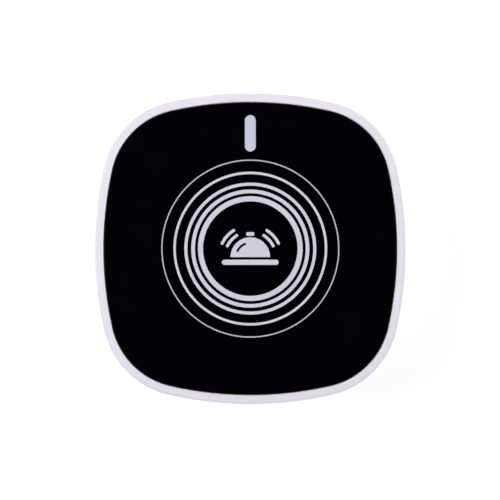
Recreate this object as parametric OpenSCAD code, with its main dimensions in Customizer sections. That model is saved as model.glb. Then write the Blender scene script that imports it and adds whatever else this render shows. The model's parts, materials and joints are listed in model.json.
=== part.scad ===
// Wireless call pager for a table or a wall, in millimetres. A rounded-square white case lies on
// its back. The black front panel faces +Z, its indicator bar is towards +Y, and the origin is in
// the middle of the resting face. A round call button sits flush in the panel and works a switch
// on the board. A bayonet door in the back opens the coin cell.

/* [Case] */
// Width of the case across its flats
body_w = 66; // [62:1:76]
// Height from the resting face to the face of the panel
body_h = 16; // [15:0.5:20]
// Radius of the corner arcs of the outline
corner_r = 18.3; // [15:0.1:21]
// Draft of the side walls in degrees
draft = 6; // [3:1:8]
// Radius of the outer edge of the rim
edge_r = 0.7; // [0.4:0.1:1]
// Radius of the lower edge of the case
base_r = 1.6; // [1:0.1:2]
// Thickness of the side wall at the parting line
wall_t = 1.8; // [1.6:0.1:2.4]
// Height of the parting line above the resting face
parting_z = 5; // [4.5:0.1:6]
// Depth of the two chamfers that make the groove along the parting line
parting_vee = 0.25; // [0.1:0.05:0.35]
// Height of the rear cover's tongue above the parting line
tongue_h = 1.2; // [0.8:0.1:1.5]
// Thickness of that tongue
tongue_t = 1; // [0.8:0.1:1.4]
// Gap between the tongue and the front case
tongue_gap = 0.1; // [0.05:0.01:0.2]
// Thickness of the rear cover's floor
floor_t = 2; // [1.6:0.1:2.4]
// Thickness of the deck under the panel
deck_t = 1.6; // [1.2:0.1:2]
// Thickness of the stiffening ribs
rib_t = 1; // [0.8:0.1:1.4]
// Height of the stiffening ribs
rib_h = 1.4; // [1:0.1:2]
// Width of the gasket in the parting line
gasket_w = 0.8; // [0.6:0.05:0.9]
// Height of that gasket
gasket_h = 0.8; // [0.5:0.05:1]
// Play round pieces that sit still in their seats
seat_gap = 0.05; // [0.02:0.01:0.1]
// Room round pieces that pass each other
free_gap = 0.2; // [0.1:0.05:0.3]

/* [Front panel] */
// Width of the rim round the panel
rim_w = 1.9; // [1.5:0.1:2.6]
// Chamfer on the rim's inner edge
rim_chamfer = 0.15; // [0.05:0.05:0.3]
// Outward slope of the rim in degrees
rim_slope = 7; // [0:1:12]
// Thickness of the panel
panel_t = 1.5; // [1:0.1:2]
// Height of the panel's face above the rim
panel_proud = 0.2; // [0:0.05:0.4]
// Radius of the panel's upper edge
panel_edge_r = 0.2; // [0.1:0.05:0.5]
// Gap between the panel and the rim
panel_gap = 0.1; // [0.05:0.01:0.2]
// Thickness of the adhesive sheet under the panel
adhesive_t = 0.2; // [0.1:0.05:0.3]
// Distance of the adhesive from the edges of the panel and of its holes
adhesive_inset = 0.6; // [0.3:0.1:1]
// Thickness of the printed rings
ink_t = 0.03; // [0.02:0.01:0.1]
// Distance from the button hole's edge to the middle of each ring on the panel
ring_offset = [0.64, 2.17, 4.56, 7.26]; // [0.4:0.01:8]
// Width of each ring on the panel
ring_w = [0.78, 0.65, 0.51, 0.25]; // [0.2:0.01:1]

/* [Call button] */
// Diameter of the button cap
button_d = 22.7; // [20:0.1:24]
// Gap round the cap
button_gap = 0.15; // [0.1:0.01:0.25]
// Travel of the cap
button_travel = 0.5; // [0.3:0.05:0.6]
// Radius of the cap's upper edge
button_edge_r = 0.2; // [0.1:0.05:0.3]
// Thickness of the cap's top
button_top_t = 1.6; // [1.2:0.1:2]
// Thickness of the cap's skirt
skirt_t = 1.4; // [1:0.1:1.8]
// Width of the flange that keeps the cap in the case
flange_w = 1.4; // [1:0.1:1.8]
// Thickness of that flange
flange_t = 0.9; // [0.7:0.1:1.2]
// Diameter of the boss that presses the switch
boss_d = 5; // [4:0.1:7]
// Width of the ring printed on the cap
cap_ring_w = 1.08; // [0.5:0.01:1.6]
// Distance from the edge of the cap to that ring
cap_ring_inset = 0.24; // [0.2:0.01:0.5]
// Thickness of the collar round the flange
collar_t = 1.2; // [1:0.1:1.6]
// Gap between the flange and the collar
collar_gap = 0.2; // [0.15:0.01:0.3]
// Width of the keys in the collar that stop the cap from turning
key_w = 1.6; // [1.2:0.1:2]
// Depth of those keys inside the collar
key_depth = 0.8; // [0.6:0.1:1]

/* [Indicator] */
// Length of the indicator bar
bar_l = 7.7; // [6:0.1:10]
// Width of the indicator bar
bar_w = 2.3; // [2:0.1:3.2]
// Distance from the bar's outer end to the panel's edge
bar_inset = 2.7; // [2:0.1:3.4]
// Gap round the bar
bar_gap = 0.06; // [0.04:0.01:0.1]
// Width of the flange that keeps the light pipe in the deck
pipe_flange_w = 0.8; // [0.6:0.1:1]
// Thickness of that flange
pipe_flange_t = 0.8; // [0.6:0.1:1.2]
// Length of the indicator lamp
led_l = 3.5; // [3:0.1:4]
// Width of the indicator lamp
led_w = 2.8; // [2:0.1:3]
// Height of the indicator lamp
led_h = 1.9; // [1.2:0.1:2.2]
// Thickness of the wall round the lamp's lens
led_wall_t = 0.3; // [0.2:0.05:0.5]
// Depth of the lamp's lens below that wall
led_well = 0.6; // [0.3:0.1:0.9]
// Gap between the lamp and the light pipe
led_air = 0.2; // [0.1:0.05:0.5]

/* [Coin cell and door] */
// Diameter of the coin cell
cell_d = 20; // [16:0.1:23]
// Height of the coin cell
cell_h = 3.2; // [2.5:0.1:3.6]
// Bevel on the edges of the coin cell
cell_bevel = 0.3; // [0.2:0.05:0.4]
// Play round the coin cell
cell_gap = 0.2; // [0.15:0.05:0.4]
// Room for the spring contact between cell and board
contact_room = 0.8; // [0.7:0.1:1.2]
// Thickness of the spring contacts
contact_t = 0.25; // [0.15:0.05:0.3]
// Width of the spring contacts
contact_w = 4.6; // [3:0.1:6]
// Thickness of the holder that rings the cell
holder_t = 1.2; // [0.9:0.1:1.6]
// Depth of the door's face below the resting face
door_sink = 0.15; // [0.1:0.05:0.3]
// Thickness of the door's rim
door_t = 1.65; // [1.5:0.05:2]
// Thickness of the door under the cell
door_floor_t = 1.45; // [1.3:0.05:1.8]
// Width of the door's rim outside its neck
door_rim_w = 1.75; // [1.65:0.05:2.2]
// Running gap round the door
door_gap = 0.15; // [0.1:0.01:0.25]
// Angle that the door turns between locked and free
door_turn = 45; // [40:1:50]
// Thickness of the door's neck round the cell
neck_t = 0.9; // [0.8:0.1:1.2]
// Width of the bayonet lugs
lug_w = 1.2; // [0.9:0.1:1.3]
// Thickness of the bayonet lugs
lug_t = 0.8; // [0.6:0.1:1]
// Angle that each lug spans
lug_angle = 34; // [28:1:36]
// Thickness of the ledge that holds the lugs
ledge_t = 0.9; // [0.8:0.1:1.2]
// Thickness of the wall round the lugs
lug_wall_t = 1.2; // [1:0.1:1.6]
// Angle of a stop beside a lug, and of the play before it
stop_angle = 4; // [3:0.5:6]
// Thickness of the door's sealing ring
seal_d = 0.7; // [0.5:0.05:0.8]
// Width of the coin slot in the door
slot_w = 1.8; // [1.4:0.1:2.2]
// Depth of the coin slot in its middle
slot_depth = 0.8; // [0.6:0.05:0.95]
// Radius of the coin that cuts the slot's floor
slot_coin_r = 14; // [9:1:16]

/* [Circuit board] */
// Thickness of the circuit board
board_t = 1.2; // [0.8:0.1:1.6]
// Gap between the board and what stands round it
board_gap = 0.5; // [0.3:0.1:0.8]
// Width of the push switch
switch_w = 6.2; // [5.8:0.1:7]
// Height of the push switch without its plunger
switch_h = 3.4; // [3:0.1:3.6]
// Thickness of the switch's metal cover
switch_cover_t = 0.3; // [0.2:0.05:0.4]
// Diameter of the plunger
plunger_d = 3.5; // [3:0.1:3.8]
// Height of the plunger above the switch
plunger_out = 1; // [0.9:0.1:1.3]
// Width of the plunger's inner flange
plunger_flange_w = 0.5; // [0.3:0.1:0.6]
// Running gap round the plunger
plunger_gap = 0.1; // [0.05:0.01:0.15]
// Width of the switch's leads
switch_lead_w = 0.8; // [0.6:0.1:1.2]
// Distance of the switch's leads from its middle
switch_lead_y = 2.1; // [1.6:0.1:2.3]
// Height at which the switch's leads leave it
switch_lead_z = 1; // [0.6:0.1:1.4]
// Thickness of the metal leads on the board
lead_t = 0.25; // [0.15:0.05:0.3]
// Length of the radio chip
chip_l = 9.9; // [9.5:0.1:11]
// Width of the radio chip
chip_w = 3.9; // [3.5:0.1:5]
// Height of the radio chip
chip_h = 1.5; // [1.2:0.1:1.8]
// Distance between the chip's leads
chip_pitch = 1.27; // [1:0.01:1.3]
// Leads on each side of the chip
chip_leads_n = 7; // [5:1:7]
// Width of each of those leads
chip_lead_w = 0.42; // [0.3:0.01:0.5]
// Diameter of the round mark beside the chip's first lead
chip_mark_d = 0.7; // [0.5:0.05:1]
// Distance of that mark from the chip's edges
chip_mark_inset = 0.9; // [0.6:0.05:1.2]
// Depth of that mark
chip_mark_depth = 0.1; // [0.05:0.01:0.2]
// Length of the crystal's can
crystal_l = 10.4; // [9:0.1:11]
// Width of the crystal's can
crystal_w = 3.8; // [3.4:0.1:4.5]
// Height of the crystal's can
crystal_h = 3.4; // [2.8:0.1:3.6]
// Distance of the chip and the crystal from the board's middle line
side_parts_x = 19; // [18:0.5:21]
// Length, width and height of a chip capacitor
capacitor = [2, 1.25, 0.8]; // [0.5:0.05:3]
// Distance between capacitors in a row, and of the rows from the middle
capacitor_at = [5.7, 11.4]; // [4:0.1:13]
// Gap between the lamp and the capacitors beside it
capacitor_gap = 1.5; // [1:0.1:3]
// Mean diameter of the antenna coil
coil_d = 3.6; // [3:0.1:3.8]
// Thickness of the antenna wire
coil_wire = 0.6; // [0.4:0.05:0.8]
// Pitch of the antenna coil
coil_pitch = 1.6; // [1.3:0.1:1.8]
// Whole turns of the antenna coil, before its last half turn
coil_turns = 8; // [4:1:9]
// Distance of the coil's middle from the outline
coil_inset = 12.5; // [11:0.5:15]

/* [Screws] */
// Diameter of a case screw's shank
screw_d = 2.2; // [2:0.1:2.6]
// Length of a case screw's shank
screw_l = 8; // [6:0.5:9]
// Diameter of a case screw's head
screw_head_d = 4; // [3.6:0.1:4.6]
// Height of a case screw's head
screw_head_h = 1.3; // [1:0.1:1.6]
// Depth of that head below the resting face
screw_sink = 0.3; // [0.2:0.05:0.6]
// Thickness of the rear cover under the head
screw_land_t = 1.6; // [1.2:0.1:2]
// Diameter of the screw bosses in the front case
screw_boss_d = 5.4; // [5:0.1:6]
// Distance of the case screws from the outline, along the diagonal
screw_inset = 8; // [7.5:0.1:9.5]
// Diameter of a board screw's shank
board_screw_d = 1.8; // [1.6:0.1:2]
// Length of a board screw's shank
board_screw_l = 5; // [4:0.5:6]
// Diameter of a board screw's head
board_head_d = 3.6; // [3:0.1:4]
// Height of a board screw's head
board_head_h = 1; // [0.8:0.1:1.1]
// Diameter of the board bosses in the front case
board_boss_d = 4.4; // [4:0.1:5]
// Place of the board bosses, mirrored through the middle
board_boss_at = [13, -19]; // [-20:0.5:20]
// Width of the cross in a screw head
cross_w = 0.5; // [0.4:0.05:0.6]
// Length of the cross in a screw head
cross_l = 2.2; // [1.8:0.1:2.6]
// Depth of the cross in a screw head
cross_depth = 0.6; // [0.4:0.05:0.7]

/* [Wall mount] */
// Distance between the two keyholes
key_span = 44; // [42:0.5:46]
// Diameter of a keyhole's round entry
key_entry_d = 7; // [6:0.1:7.5]
// Width of a keyhole's slot
key_slot_w = 3.6; // [3:0.1:4]
// Distance from the middle of the entry to the end of the slot
key_travel = 5.5; // [5:0.1:6.5]
// Height of the entry's middle on the back
key_y = -2.5; // [-4:0.1:-1]
// Play round a screw's head behind the keyhole
key_pocket_gap = 0.2; // [0.1:0.05:0.4]
// Thickness of the walls round that pocket
key_wall_t = 0.8; // [0.7:0.1:1.2]

/* [Hidden] */
$fn = 96;

white = [0.91, 0.90, 0.94];
black = [0.04, 0.04, 0.05];
ink = [0.84, 0.84, 0.92];
steel = [0.72, 0.73, 0.75];
gold = [0.80, 0.66, 0.36];
copper = [0.75, 0.45, 0.25];
silicone = [0.45, 0.46, 0.48];
board_green = [0.06, 0.32, 0.16];
chip_black = [0.09, 0.09, 0.10];
nylon = [0.85, 0.84, 0.80];

// How far cutting shapes run past what they cut
cut = 1;
// How far pieces of one solid run into each other
bite = 0.6;

// The outline has four side arcs and four corner arcs. Their centres lie on a right triangle with
// whole-number sides, so neighbouring arcs meet in tangency at exact sizes.
tri_short = 9;
tri_long = 40;
tri_slope = 41;
half_w = body_w / 2;
arc_unit = (half_w - corner_r) / (tri_short + tri_slope - tri_long);
corner_c = tri_short * arc_unit;
side_c = corner_c - tri_long * arc_unit;
side_r = half_w - side_c;
reach = body_w / tri_long;
far_short = corner_c + tri_short * reach;
far_long = corner_c + tri_long * reach;
side_wedge = [[corner_c, -corner_c], [far_long, -far_short], [far_long, far_short], [corner_c, corner_c]];
corner_wedge = [[corner_c, corner_c], [far_long, far_short], [far_long, far_long], [far_short, far_long]];

// The arcs of one solid are tied together by a core that stays this far below their surface
core_in = 0.1;
// Half the length of the core's edges across the lines where two arcs meet
core_half = 0.5;

// Heights from the panel down
rim_z = body_h - panel_proud;
panel_z = body_h - panel_t;
deck_top = panel_z - adhesive_t;
deck_z = deck_top - deck_t;

// Heights from the door up
door_top = door_sink + door_t;
ledge_z = door_top + seat_gap;
lug_z = ledge_z + ledge_t + 2 * seat_gap;
neck_top = lug_z + lug_t;
cell_z = door_sink + door_floor_t + 2 * seat_gap;
cell_top = cell_z + cell_h;
board_z = cell_top + contact_room;
board_top = board_z + board_t;
switch_top = board_top + switch_h;
plunger_top = switch_top + plunger_out;

// Side walls, measured inwards from the outline
rim_flat = rim_w - rim_chamfer - edge_r * (1 - sin(rim_slope));
edge_z = rim_z - edge_r * cos(rim_slope) - rim_flat * tan(rim_slope);
function side_x(z) = -edge_r * (1 - cos(draft)) - (edge_z - edge_r * sin(draft) - z) * tan(draft);
wall_in = wall_t - side_x(parting_z);
tongue_out = wall_in + tongue_gap;
tongue_in = tongue_out + tongue_t;
groove_w = gasket_w + 2 * seat_gap;
groove_h = gasket_h + seat_gap;
groove_out = wall_in - (wall_t + groove_w) / 2;
base_x = side_x(base_r - base_r * sin(draft)) - base_r * cos(draft);

// Button, its hole and its collar
cap_r = button_d / 2;
hole_r = cap_r + button_gap;
flange_r = cap_r + flange_w;
flange_top = deck_z - seat_gap;
flange_z = flange_top - flange_t;
collar_in = flange_r + collar_gap;
collar_out = collar_in + collar_t;
collar_z = flange_z - button_travel - seat_gap;

// Indicator
panel_inset = rim_w + panel_gap;
bar_y = half_w - panel_inset - bar_inset - bar_l / 2;
pipe_z = board_top + led_h + led_air;

// Door and its seat
cup_r = cell_d / 2 + cell_gap;
neck_r = cup_r + neck_t;
lug_r = neck_r + lug_w;
door_r = neck_r + door_rim_w;
seat_r = door_r + door_gap;
throat_r = neck_r + door_gap;
notch_r = lug_r + door_gap;
lug_wall_in = notch_r + free_gap;
lug_wall_z = neck_top + free_gap;
seal_r = seat_r - seat_gap - seal_d / 2;
holder_r = cup_r + seat_gap;

// Screws
screw_at = corner_c + (corner_r - screw_inset) / sqrt(2);
screw_seat = screw_sink + screw_head_h;
screw_land = screw_seat + screw_land_t;
screw_hole_r = screw_d / 2 + seat_gap;
board_hole_r = board_screw_d / 2 + seat_gap;
head_room_r = screw_head_d / 2 + free_gap;

// Coil
coil_y = half_w - coil_inset;

// Keyholes
key_pocket_r = key_entry_d / 2 + key_pocket_gap;
key_block_top = board_z - board_gap;

function arc(cx, cy, r, from, to, steps = 8) = [
    for (i = [0 : steps])
        let (a = from + (to - from) * i / steps)
            [cx + r * cos(a), cy + r * sin(a)]
];

// Corners of the core beside the two ends of a corner arc
function core_ends(r) = [
    for (end = [[tri_long, tri_short], [tri_short, tri_long]])
        for (along = [-core_half, core_half])
            [
                corner_c + (r * end[0] - along * end[1]) / tri_slope,
                corner_c + (r * end[1] + along * end[0]) / tri_slope
            ]
];

// Area inside the outline, grown or shrunk all round
module outline(grow = 0) {
    ends = core_ends(corner_r + grow - core_in);
    polygon(concat(
        [for (p = ends) p],
        [for (p = ends) [-p[1], p[0]]],
        [for (p = ends) -p],
        [for (p = ends) [p[1], -p[0]]]
    ));
    for (q = [0 : 3]) {
        rotate(90 * q) {
            intersection() {
                translate([side_c, 0]) circle(r = side_r + grow);
                polygon(side_wedge);
            }
            intersection() {
                translate([corner_c, corner_c]) circle(r = corner_r + grow);
                polygon(corner_wedge);
            }
        }
    }
}

// A section carried round the outline. X is the distance outside the outline, Y is the height.
module round_outline() {
    for (q = [0 : 3]) {
        rotate(90 * q) {
            intersection() {
                translate([side_c, 0, 0]) rotate_extrude() translate([side_r, 0]) children();
                translate([0, 0, -cut]) linear_extrude(body_h + 2 * cut) polygon(side_wedge);
            }
            intersection() {
                translate([corner_c, corner_c, 0]) rotate_extrude() translate([corner_r, 0]) children();
                translate([0, 0, -cut]) linear_extrude(body_h + 2 * cut) polygon(corner_wedge);
            }
        }
    }
}

// Area between two outlines
module band(outer, inner) {
    difference() {
        outline(outer);
        outline(inner);
    }
}

module slab(z0, z1) {
    translate([0, 0, z0]) linear_extrude(z1 - z0) children();
}

module ring(r0, r1) {
    difference() {
        circle(r = r1);
        circle(r = r0);
    }
}

// A round-ended bar along Y
module stadium(length, width) {
    square([width, length - width], center = true);
    translate([0, (length - width) / 2]) circle(r = width / 2);
    translate([0, (width - length) / 2]) circle(r = width / 2);
}

// The indicator bar in plan, grown all round
module bar_hole(grow) {
    translate([0, bar_y]) stadium(bar_l + 2 * grow, bar_w + 2 * grow);
}

// Part of a ring between two angles
module sector(r0, r1, from, to, z0, z1) {
    rotate(from) rotate_extrude(angle = to - from) translate([r0, z0]) square([r1 - r0, z1 - z0]);
}

module at_corners(at) {
    for (q = [0 : 3]) {
        rotate(90 * q) translate([at, at, 0]) children();
    }
}

module at_board_bosses() {
    for (side = [0, 1]) {
        rotate(180 * side) translate([board_boss_at[0], board_boss_at[1], 0]) children();
    }
}

// A headed screw that points up from the underside of its head's seat
module screw(seat_z, shank_d, shank_l, head_d, head_h) {
    difference() {
        union() {
            translate([0, 0, seat_z - head_h]) cylinder(d = head_d, h = head_h);
            translate([0, 0, seat_z - bite]) cylinder(d = shank_d, h = shank_l + bite);
        }
        for (turn = [0, 90]) {
            rotate(turn) translate([-cross_l / 2, -cross_w / 2, seat_z - head_h - cut])
                cube([cross_l, cross_w, cross_depth + cut]);
        }
    }
}

// A bent lead that leaves a body at X = 0 and stands on the board
module lead(rise, width) {
    foot = 2 * lead_t;
    translate([0, width / 2, 0]) rotate([90, 0, 0]) linear_extrude(width) polygon([
        [0, rise],
        [foot, rise],
        [foot, lead_t],
        [2 * foot, lead_t],
        [2 * foot, 0],
        [foot - lead_t, 0],
        [foot - lead_t, rise - lead_t],
        [0, rise - lead_t]
    ]);
}

module front_case() {
    gusset_z = parting_z + tongue_h + free_gap;
    core_out = side_x(parting_z) - parting_vee - core_in;
    color(white)
    difference() {
        union() {
            round_outline() polygon(concat(
                [
                    [-wall_in, parting_z],
                    [side_x(parting_z) - parting_vee, parting_z],
                    [side_x(parting_z + parting_vee), parting_z + parting_vee]
                ],
                arc(-edge_r, edge_z, edge_r, -draft, 90 - rim_slope),
                [
                    [rim_chamfer - rim_w, rim_z],
                    [-rim_w, rim_z - rim_chamfer],
                    [-rim_w, deck_top],
                    [-wall_in, deck_top]
                ]
            ));
            slab(parting_z + core_in, deck_top - core_in) band(core_out, core_in - wall_in);
            slab(deck_z + core_in, edge_z) band(core_out, core_in - rim_w);
            slab(deck_z, deck_top) outline(bite - wall_in);
            slab(collar_z, deck_z + bite) ring(collar_in, collar_out);
            for (side = [0, 1]) {
                rotate(180 * side) {
                    translate([flange_r - key_depth + collar_gap, -key_w / 2, collar_z])
                        cube([key_depth + bite, key_w, deck_z + bite - collar_z]);
                    translate([collar_out - bite, -rib_t / 2, deck_z - rib_h])
                        cube([half_w - wall_in + 2 * bite - collar_out, rib_t, rib_h + bite]);
                }
            }
            at_corners(screw_at) {
                slab(screw_land, deck_z + bite) circle(d = screw_boss_d);
                rotate(45) translate([0, -rib_t / 2, gusset_z])
                    cube([screw_inset - wall_in + bite, rib_t, deck_z + bite - gusset_z]);
            }
            at_board_bosses() slab(board_top, deck_z + bite) circle(d = board_boss_d);
        }
        slab(collar_z - cut, deck_top + cut) circle(r = hole_r);
        slab(deck_z - cut, deck_top + cut) bar_hole(bar_gap);
        at_corners(screw_at) slab(screw_land - cut, screw_seat + screw_l + bite) circle(r = screw_hole_r);
        at_board_bosses() slab(board_top - cut, board_z + board_screw_l + bite) circle(r = board_hole_r);
    }
}

// Keyhole in plan, with its entry on the origin
module keyhole() {
    circle(d = key_entry_d);
    translate([-key_slot_w / 2, 0]) square([key_slot_w, key_travel]);
    translate([0, key_travel]) circle(d = key_slot_w);
}

module at_keyholes() {
    for (side = [-1, 1]) {
        translate([side * key_span / 2, key_y, 0]) children();
    }
}

// The way a screw's head takes behind the keyhole, grown all round
module key_path(grow) {
    translate([0, key_travel / 2]) stadium(key_travel + 2 * (key_pocket_r + grow), 2 * (key_pocket_r + grow));
}

module rear_cover() {
    floor_in = tongue_in + 2 * bite;
    stop_in = neck_r + lug_w / 2;
    stop_out = lug_wall_in + lug_wall_t / 2;
    notch_half = lug_angle / 2 + stop_angle / 4;
    first_stop = lug_angle / 2 + stop_angle / 2;
    rib_from = lug_wall_in + lug_wall_t;
    rib_to = screw_at * sqrt(2);
    color(white)
    difference() {
        union() {
            round_outline() polygon(concat(
                [[-floor_in, 0]],
                arc(base_x, base_r, base_r, -90, -draft),
                [
                    [side_x(parting_z - parting_vee), parting_z - parting_vee],
                    [side_x(parting_z) - parting_vee, parting_z],
                    [-groove_out, parting_z],
                    [-groove_out, parting_z - groove_h],
                    [-groove_out - groove_w, parting_z - groove_h],
                    [-groove_out - groove_w, parting_z],
                    [-tongue_out, parting_z],
                    [-tongue_out, parting_z + tongue_h],
                    [-tongue_in, parting_z + tongue_h],
                    [-tongue_in, floor_t],
                    [-floor_in, floor_t]
                ]
            ));
            slab(core_in, floor_t - core_in) outline(base_x);
            slab(core_in, parting_z - groove_h - core_in) band(base_x, core_in - tongue_in);
            slab(floor_t - bite, parting_z - parting_vee - core_in)
                band(side_x(floor_t - bite) - core_in, core_in - groove_out);
            slab(floor_t - bite, parting_z - core_in)
                band(-groove_out - groove_w - core_in, core_in - tongue_in);
            slab(floor_t - bite, parting_z + tongue_h - core_in)
                band(-tongue_out - core_in, core_in - tongue_in);
            slab(0, floor_t) outline(-tongue_in - bite);
            slab(0, ledge_z + ledge_t) circle(r = lug_wall_in + lug_wall_t + bite);
            slab(ledge_z, lug_wall_z) ring(lug_wall_in, lug_wall_in + lug_wall_t);
            at_corners(screw_at) {
                slab(0, screw_land) circle(d = screw_boss_d + 2 * rib_t);
                rotate(45) translate([rib_from - rib_to, -rib_t / 2, floor_t - bite])
                    cube([rib_to - rib_from, rib_t, screw_land - free_gap + bite - floor_t]);
            }
            at_keyholes() slab(0, key_block_top) key_path(key_wall_t);
        }
        slab(-cut, ledge_z) circle(r = seat_r);
        slab(-cut, ledge_z + ledge_t + cut) circle(r = throat_r);
        for (lug = [0 : 2]) {
            rotate(120 * lug - door_turn)
                sector(neck_r - cut, notch_r, -notch_half, notch_half, ledge_z - bite, lug_z + cut);
        }
        at_corners(screw_at) {
            slab(-cut, screw_seat) circle(r = head_room_r);
            slab(-cut, screw_land + cut) circle(r = screw_hole_r);
        }
        at_keyholes() {
            slab(-cut, floor_t + bite) keyhole();
            slab(floor_t, key_block_top - key_wall_t) key_path(0);
        }
    }
    color(white)
    for (lug = [0 : 2]) {
        rotate(120 * lug) {
            sector(stop_in, stop_out, first_stop, first_stop + stop_angle, ledge_z + bite, neck_top);
            sector(stop_in, stop_out, -door_turn - first_stop - stop_angle, -door_turn - first_stop,
                ledge_z + bite, neck_top);
        }
    }
}

module case_gasket() {
    color(silicone)
    slab(parting_z - gasket_h, parting_z)
        band(-groove_out - seat_gap, -groove_out - seat_gap - gasket_w);
}

module case_screws() {
    color(steel)
    at_corners(screw_at) screw(screw_seat, screw_d, screw_l, screw_head_d, screw_head_h);
}

module front_panel() {
    color(black)
    difference() {
        union() {
            round_outline() polygon(concat(
                [[-panel_inset - 2 * bite, panel_z], [-panel_inset, panel_z]],
                arc(-panel_inset - panel_edge_r, body_h - panel_edge_r, panel_edge_r, 0, 90),
                [[-panel_inset - 2 * bite, body_h]]
            ));
            slab(panel_z + core_in, body_h - panel_edge_r - core_in) outline(-panel_inset - core_in);
            slab(panel_z, body_h) outline(-panel_inset - bite);
        }
        slab(panel_z - cut, body_h + cut) circle(r = hole_r);
        slab(panel_z - cut, body_h + cut) bar_hole(bar_gap);
    }
}

module panel_adhesive() {
    color(nylon)
    slab(deck_top, panel_z) difference() {
        outline(-panel_inset - adhesive_inset);
        circle(r = hole_r + adhesive_inset);
        bar_hole(bar_gap + adhesive_inset);
    }
}

module panel_rings() {
    color(ink)
    for (i = [0 : len(ring_offset) - 1]) {
        middle = hole_r + ring_offset[i];
        slab(body_h, body_h + ink_t) ring(middle - ring_w[i] / 2, middle + ring_w[i] / 2);
    }
}

module light_pipe() {
    flange = 2 * pipe_flange_w;
    color(ink)
    translate([0, bar_y, 0]) {
        slab(deck_z - pipe_flange_t, body_h) stadium(bar_l, bar_w);
        slab(deck_z - pipe_flange_t, deck_z) stadium(bar_l + flange, bar_w + flange);
        slab(pipe_z, deck_z - pipe_flange_t + bite / 2) square([led_w, led_l], center = true);
    }
}

module button_cap() {
    skirt_in = cap_r - skirt_t;
    roof_z = body_h - button_top_t;
    tip_z = plunger_top + seat_gap;
    color(black)
    difference() {
        union() {
            rotate_extrude() polygon(concat(
                [[0, body_h]],
                arc(cap_r - button_edge_r, body_h - button_edge_r, button_edge_r, 90, 0),
                [
                    [cap_r, flange_top],
                    [flange_r, flange_top],
                    [flange_r, flange_z],
                    [skirt_in, flange_z],
                    [skirt_in, roof_z],
                    [boss_d / 2, roof_z],
                    [boss_d / 2, tip_z],
                    [0, tip_z]
                ]
            ));
            for (turn = [45, 135]) {
                rotate(turn) translate([-skirt_in - bite, -rib_t / 2, roof_z - rib_h])
                    cube([2 * (skirt_in + bite), rib_t, rib_h + bite]);
            }
        }
        for (side = [0, 1]) {
            rotate(180 * side) translate([flange_r - key_depth, -key_w / 2 - collar_gap, flange_z - cut])
                cube([key_depth + cut, key_w + 2 * collar_gap, flange_t + cut]);
        }
    }
}

module button_ring() {
    outer = cap_r - cap_ring_inset;
    color(ink)
    slab(body_h, body_h + ink_t) ring(outer - cap_ring_w, outer);
}

module switch_plunger() {
    inner_z = switch_top - switch_cover_t - seat_gap;
    color(chip_black) {
        slab(inner_z - plunger_flange_w, plunger_top) circle(d = plunger_d);
        slab(inner_z - plunger_flange_w, inner_z) circle(r = plunger_d / 2 + plunger_flange_w);
    }
}

module battery_door() {
    groove_r = seal_r - seal_d / 2 - seat_gap;
    groove_half = seal_d / 2 + seat_gap;
    mid_z = door_sink + door_t / 2;
    edge = free_gap;
    color(white)
    difference() {
        union() {
            rotate_extrude() polygon([
                [0, door_sink],
                [door_r - edge, door_sink],
                [door_r, door_sink + edge],
                [door_r, mid_z - groove_half],
                [groove_r, mid_z - groove_half],
                [groove_r, mid_z + groove_half],
                [door_r, mid_z + groove_half],
                [door_r, door_top],
                [neck_r, door_top],
                [neck_r, neck_top],
                [cup_r, neck_top],
                [cup_r, door_sink + door_floor_t],
                [0, door_sink + door_floor_t]
            ]);
            for (lug = [0 : 2]) {
                rotate(120 * lug)
                    sector(cup_r + neck_t / 2, lug_r, -lug_angle / 2, lug_angle / 2, lug_z, neck_top);
            }
        }
        translate([0, 0, door_sink + slot_depth - slot_coin_r]) rotate([90, 0, 0])
            cylinder(r = slot_coin_r, h = slot_w, center = true);
    }
}

module door_seal() {
    color(silicone)
    translate([0, 0, door_sink + door_t / 2]) rotate_extrude() translate([seal_r, 0]) circle(d = seal_d);
}

// The wide can is the positive pole and faces the door. The narrower lid faces the board.
module coin_cell() {
    cell_r = cell_d / 2;
    color(steel)
    rotate_extrude() polygon([
        [0, cell_z],
        [cell_r - cell_bevel, cell_z],
        [cell_r, cell_z + cell_bevel],
        [cell_r, cell_top - 2 * cell_bevel],
        [cell_r - cell_bevel, cell_top - cell_bevel],
        [cell_r - 3 * cell_bevel, cell_top - cell_bevel],
        [cell_r - 4 * cell_bevel, cell_top],
        [0, cell_top]
    ]);
}

module cell_holder() {
    window = contact_w + 2 * cell_gap;
    color(chip_black)
    slab(lug_wall_z, board_z) difference() {
        ring(holder_r, holder_r + holder_t);
        translate([0, -window / 2]) square([holder_r + 2 * holder_t, window]);
    }
}

module contact_positive() {
    blade_x = cell_d / 2 + seat_gap;
    color(gold)
    translate([0, contact_w / 2, 0]) rotate([90, 0, 0]) linear_extrude(contact_w) polygon([
        [blade_x, lug_wall_z],
        [blade_x + contact_t, lug_wall_z],
        [blade_x + contact_t, board_z - contact_t],
        [holder_r + 2 * holder_t, board_z - contact_t],
        [holder_r + 2 * holder_t, board_z],
        [blade_x, board_z]
    ]);
}

module contact_negative() {
    touch_z = cell_top + seat_gap;
    touch_x = contact_w / 4;
    foot_x = cell_d / 4;
    tip_z = (touch_z + board_z - contact_t) / 2;
    color(gold)
    translate([0, contact_w / 2, 0]) rotate([90, 0, 0]) linear_extrude(contact_w) polygon([
        [-cell_d / 2 + bite, board_z - contact_t],
        [-foot_x, board_z - contact_t],
        [-touch_x, touch_z],
        [touch_x, touch_z],
        [foot_x, tip_z],
        [foot_x, tip_z + contact_t],
        [touch_x, touch_z + contact_t],
        [-touch_x, touch_z + contact_t],
        [-foot_x, board_z],
        [-cell_d / 2 + bite, board_z]
    ]);
}

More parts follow.
